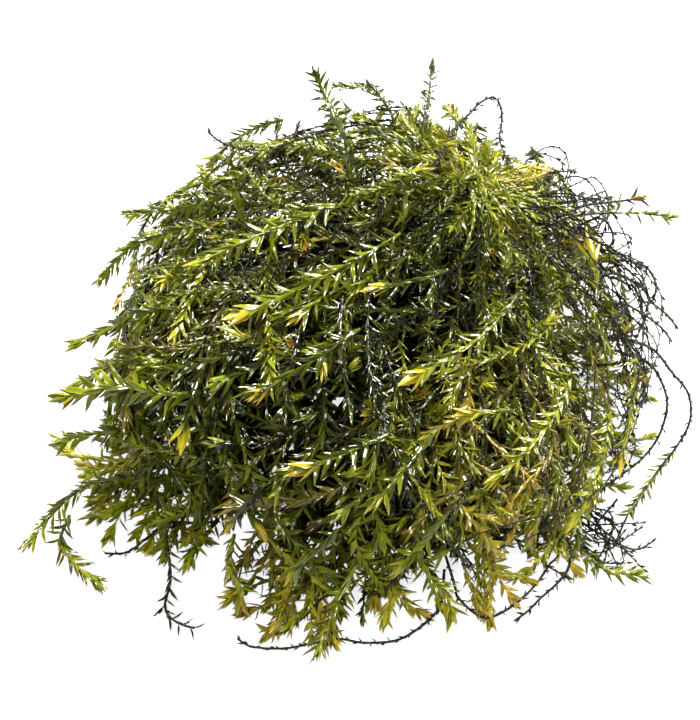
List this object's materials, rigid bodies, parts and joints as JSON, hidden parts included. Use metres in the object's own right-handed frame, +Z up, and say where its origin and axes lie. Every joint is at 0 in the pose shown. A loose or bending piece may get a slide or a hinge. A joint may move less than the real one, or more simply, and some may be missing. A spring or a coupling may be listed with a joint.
{
  "type": "moss clump",
  "caption": "Springy mound of wet, tangled water moss with leafy shoots lying over it and spilling out, and thin bare stems looping from its edges; rests on its flat underside.",
  "frame": {"origin": "the middle of the flat underside that the clump rests on, at mount underside", "axes": "+Z up out of the surface the clump lies on, -Y to the front, +X to the right as seen from the front"},
  "size_m": [0.1489, 0.1388, 0.0705],
  "materials": {
    "leafy_moss": "wet, glossy leaves, green to golden yellow",
    "matted_moss": "wet, dark green and black tangle",
    "bare_stem": "wet, near black, wiry"
  },
  "bodies": {
    "root": {"back_shoot_far_left": "leafy_moss", "back_shoot_far_right": "leafy_moss", "back_shoot_left": "leafy_moss", "back_shoot_right": "leafy_moss", "bare_stem_front_arc": "bare_stem", "bare_stem_front_left": "bare_stem", "bare_stem_front_long": "bare_stem", "bare_stem_front_loop": "bare_stem", "bare_stem_inner_arc": "bare_stem", "bare_stem_left_ground": "bare_stem", "bare_stem_outer_arc": "bare_stem", "bare_stem_right_arch": "bare_stem", "bare_stem_right_ground": "bare_stem", "bare_stem_right_hook": "bare_stem", "bare_stem_right_low": "bare_stem", "bare_stem_right_stray": "bare_stem", "bare_stem_small_loop": "bare_stem", "bare_stem_top_loop": "bare_stem", "bare_stem_upper_left": "bare_stem", "crown_shoot_arched": "leafy_moss", "crown_shoot_left": "leafy_moss", "crown_shoot_right": "leafy_moss", "draped_shoot_01": "leafy_moss", "draped_shoot_02": "leafy_moss", "draped_shoot_03": "leafy_moss", "draped_shoot_04": "leafy_moss", "draped_shoot_05": "leafy_moss", "draped_shoot_06": "leafy_moss", "draped_shoot_07": "leafy_moss", "draped_shoot_08": "leafy_moss", "draped_shoot_09": "leafy_moss", "draped_shoot_10": "leafy_moss", "draped_shoot_11": "leafy_moss", "draped_shoot_12": "leafy_moss", "draped_shoot_13": "leafy_moss", "draped_shoot_14": "leafy_moss", "draped_shoot_15": "leafy_moss", "draped_shoot_16": "leafy_moss", "draped_shoot_17": "leafy_moss", "draped_shoot_18": "leafy_moss", "draped_shoot_19": "leafy_moss", "draped_shoot_20": "leafy_moss", "draped_shoot_21": "leafy_moss", "draped_shoot_22": "leafy_moss", "front_shoot_far_left": "leafy_moss", "front_shoot_left": "leafy_moss", "front_shoot_middle": "leafy_moss", "front_shoot_right": "leafy_moss", "left_shoot_fork": "leafy_moss", "left_shoot_golden": "leafy_moss", "left_shoot_high": "leafy_moss", "left_shoot_middle": "leafy_moss", "left_shoot_short": "leafy_moss", "left_shoot_small": "leafy_moss", "left_shoot_trailing": "leafy_moss", "left_shoot_upper": "leafy_moss", "matted_mound": "matted_moss", "right_shoot_ground": "leafy_moss", "right_shoot_long": "leafy_moss", "right_shoot_upper": "leafy_moss"}
  },
  "joints": []
}
